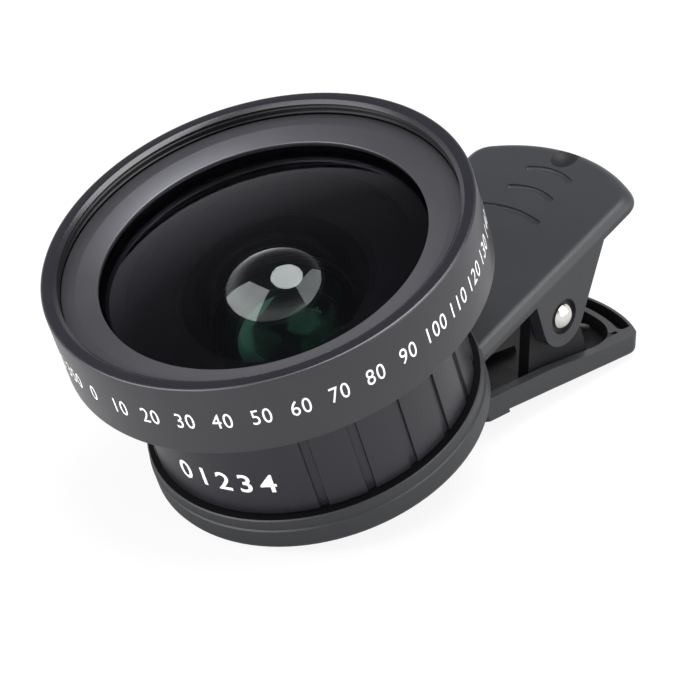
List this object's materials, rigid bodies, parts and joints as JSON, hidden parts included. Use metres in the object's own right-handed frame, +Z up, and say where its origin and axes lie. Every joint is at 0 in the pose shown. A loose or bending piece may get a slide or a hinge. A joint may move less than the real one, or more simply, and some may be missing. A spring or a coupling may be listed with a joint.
{
  "type": "clip-on phone lens",
  "caption": "Wide-angle lens screwed on a close-up lens in a sprung clip that holds it over a phone's camera.",
  "frame": {"origin": "centre of the bounding box, at the table that the clip stands on", "axes": "+Z up from the table, +X from the lens to the finger lever, Y along the pivot pin; the lens axis leans 16.8 degrees from +Z towards -X"},
  "size_m": [0.0834, 0.052, 0.0426],
  "materials": {
    "black_anodised": "satin black anodised",
    "grey_anodised": "satin dark grey anodised",
    "inner_black": "matt black paint",
    "coated_glass": "coated optical glass",
    "clip_plastic": "fine matt black moulding",
    "soft_rubber": "soft black rubber",
    "bright_steel": "bright nickel"
  },
  "bodies": {
    "clip": {"upper_arm": "clip_plastic", "upper_pad": "soft_rubber", "pivot_pin": "bright_steel", "pin_keeper": "bright_steel", "torsion_spring": "bright_steel"},
    "jaw": {"lower_arm": "clip_plastic", "lower_pad": "soft_rubber"},
    "macro_carrier": {"macro_washer": "soft_rubber"},
    "macro_lens": {"macro_ring": "black_anodised", "macro_front_lens": "coated_glass", "macro_front_keeper": "inner_black", "macro_rear_lens": "coated_glass", "macro_rear_keeper": "inner_black"},
    "wide_carrier": {"wide_washer": "soft_rubber"},
    "wide_lens": {"front_ring": "black_anodised", "bezel_ring": "grey_anodised", "front_spacer": "inner_black", "front_lens": "coated_glass", "baffle_ring": "inner_black"}
  },
  "joints": [
    {"name": "jaw_hinge", "type": "hinge", "parent": "clip", "child": "jaw", "pos_m": [0.02231, 0, 0.01189], "axis": [0, -1, 0], "range_deg": [0, 30], "stiffness_Nm_per_rad": 0.35, "springref_deg": -28.65, "deforming": ["torsion_spring"]},
    {"name": "macro_lift", "type": "slide", "parent": "clip", "child": "macro_carrier", "axis": [-0.2898, 0, 0.9571], "range_m": [0, 0.00263]},
    {"name": "macro_turn", "type": "hinge", "parent": "macro_carrier", "child": "macro_lens", "pos_m": [-0.00935, 0, 0.01035], "axis": [-0.2898, 0, 0.9571], "range_deg": [0, 1260]},
    {"name": "wide_lift", "type": "slide", "parent": "macro_lens", "child": "wide_carrier", "axis": [-0.2898, 0, 0.9571], "range_m": [0, 0.00337]},
    {"name": "wide_turn", "type": "hinge", "parent": "wide_carrier", "child": "wide_lens", "pos_m": [-0.01399, 0, 0.02566], "axis": [-0.2898, 0, 0.9571], "range_deg": [0, 1620]}
  ],
  "couplings": [
    {"joint": "macro_lift", "follows": "macro_turn", "m_per_rad": 0.00011937},
    {"joint": "wide_lift", "follows": "wide_turn", "m_per_rad": 0.00011937}
  ]
}
